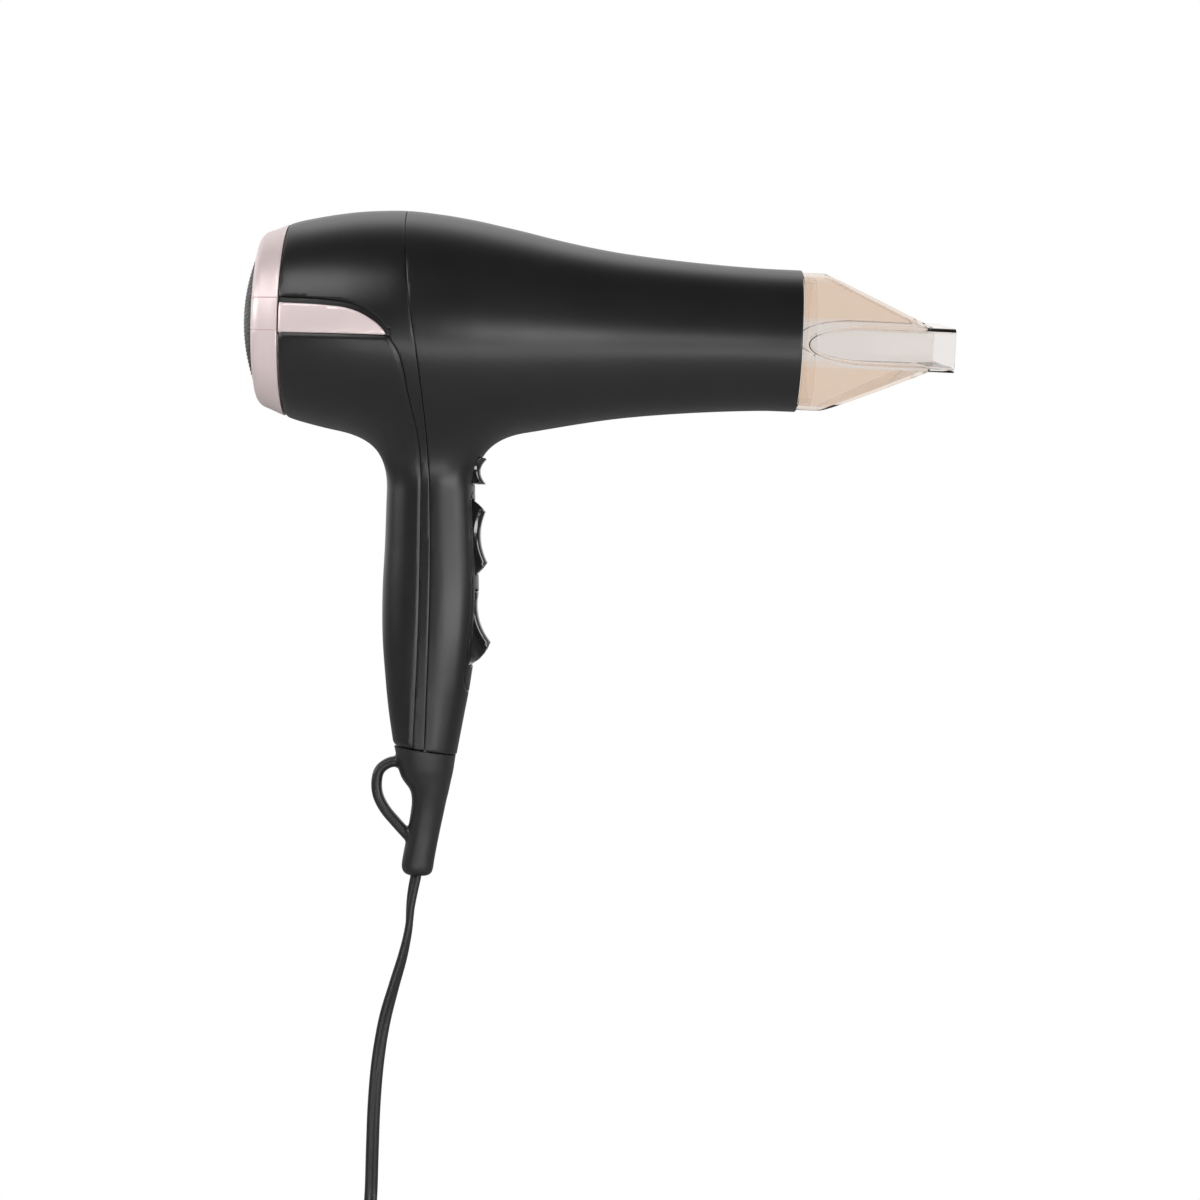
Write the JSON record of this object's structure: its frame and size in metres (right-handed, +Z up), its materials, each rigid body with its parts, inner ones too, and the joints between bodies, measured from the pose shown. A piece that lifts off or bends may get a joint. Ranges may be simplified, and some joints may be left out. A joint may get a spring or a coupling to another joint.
{
  "type": "hair dryer",
  "caption": "Handheld hair dryer with a waisted barrel, angled nozzle, rear air filter, handle with rocker switches, cord guard with hang loop, and a mains cord with plug.",
  "frame": {"origin": "middle of the hand grip, on the handle's centre line, where the hand holds the dryer", "axes": "+X along the barrel towards the nozzle, +Y to the user's left, +Z up"},
  "size_m": [0.2794, 0.0911, 0.4332],
  "materials": {
    "shell": "black satin soft-touch moulding with a very fine texture",
    "rose_trim": "rose gold satin metallic coating on plastic",
    "inlet_mesh": "black woven wire filter mesh",
    "inner_plastic": "grey heat-resistant moulding",
    "steel": "plain plated steel",
    "copper": "copper windings and segments",
    "bronze": "sintered bronze",
    "ferrite": "dark grey ferrite and carbon",
    "mica": "mottled mica sheet",
    "nichrome": "dull resistance wire",
    "grille": "black heat-resistant moulding",
    "nozzle_clear": "polished transparent peach plastic",
    "switch_plate": "black satin moulding",
    "button": "polished black",
    "circuit_board": "green laminate",
    "soft_guard": "black flexible moulding, satin",
    "cord_jacket": "black flexible cord jacket, satin",
    "plug": "black flexible moulding",
    "plug_pin": "bright brass blade"
  },
  "bodies": {
    "housing": {"front_housing": "shell", "rear_housing": "shell", "handle_back": "shell", "side_trim_left": "rose_trim", "side_trim_right": "rose_trim", "fan_duct": "inner_plastic", "motor_end_cap": "inner_plastic", "speed_switch": "inner_plastic", "heat_switch": "inner_plastic", "cool_shot_switch": "inner_plastic", "cord_clamp": "inner_plastic", "motor_case": "steel", "thermal_cutout": "steel", "thermal_fuse": "steel", "cool_shot_spring": "steel", "clamp_screw_left": "steel", "clamp_screw_right": "steel", "motor_bearing_rear": "bronze", "motor_bearing_front": "bronze", "magnet_upper": "ferrite", "magnet_lower": "ferrite", "brush_left": "ferrite", "brush_right": "ferrite", "mica_board_upright": "mica", "mica_board_level": "mica", "heater_sleeve": "mica", "heating_coil": "nichrome", "outlet_grille": "grille", "switch_plate": "switch_plate", "switch_board": "circuit_board", "cord_boot": "soft_guard", "cord_core": "cord_jacket", "power_cord": "cord_jacket", "cord_coil": "cord_jacket", "cord_tail": "cord_jacket", "cord_tie": "cord_jacket", "plug_body": "plug", "plug_pin_left": "plug_pin", "plug_pin_right": "plug_pin"},
    "rotor": {"fan_impeller": "inner_plastic", "motor_shaft": "steel", "motor_armature": "copper", "motor_commutator": "copper"},
    "nozzle_mount": {"nozzle_collar": "grille"},
    "nozzle_head": {"nozzle": "nozzle_clear"},
    "inlet_cover": {"inlet_ring": "rose_trim", "inlet_mesh": "inlet_mesh", "inlet_guard": "inner_plastic"},
    "speed_button": {"speed_rocker": "button"},
    "heat_button": {"heat_rocker": "button"},
    "cool_shot_button": {"cool_shot_trigger": "button"}
  },
  "joints": [
    {"name": "fan_spin", "type": "hinge", "parent": "housing", "child": "rotor", "pos_m": [0, 0, 0.1], "axis": [1, 0, 0], "continuous": true},
    {"name": "nozzle_pull", "type": "slide", "parent": "housing", "child": "nozzle_mount", "axis": [1, 0, 0], "range_m": [0, 0.03]},
    {"name": "nozzle_swivel", "type": "hinge", "parent": "nozzle_mount", "child": "nozzle_head", "pos_m": [0.15, 0, 0.1], "axis": [1, 0, 0], "continuous": true},
    {"name": "inlet_cover_pull", "type": "slide", "parent": "housing", "child": "inlet_cover", "axis": [-1, 0, 0], "range_m": [0, 0.025]},
    {"name": "speed_rocker_tilt", "type": "hinge", "parent": "housing", "child": "speed_button", "pos_m": [0.00772, 0, 0.0155], "axis": [0, 1, 0], "range_deg": [-9, 9]},
    {"name": "heat_rocker_tilt", "type": "hinge", "parent": "housing", "child": "heat_button", "pos_m": [0.00882, 0, -0.0194], "axis": [0, 1, 0], "range_deg": [0, 18]},
    {"name": "cool_shot_press", "type": "slide", "parent": "housing", "child": "cool_shot_button", "axis": [-1, 0, 0], "range_m": [0, 0.0025], "stiffness_N_per_m": 400, "springref_m": -0.0015, "deforming": ["cool_shot_spring"]}
  ]
}
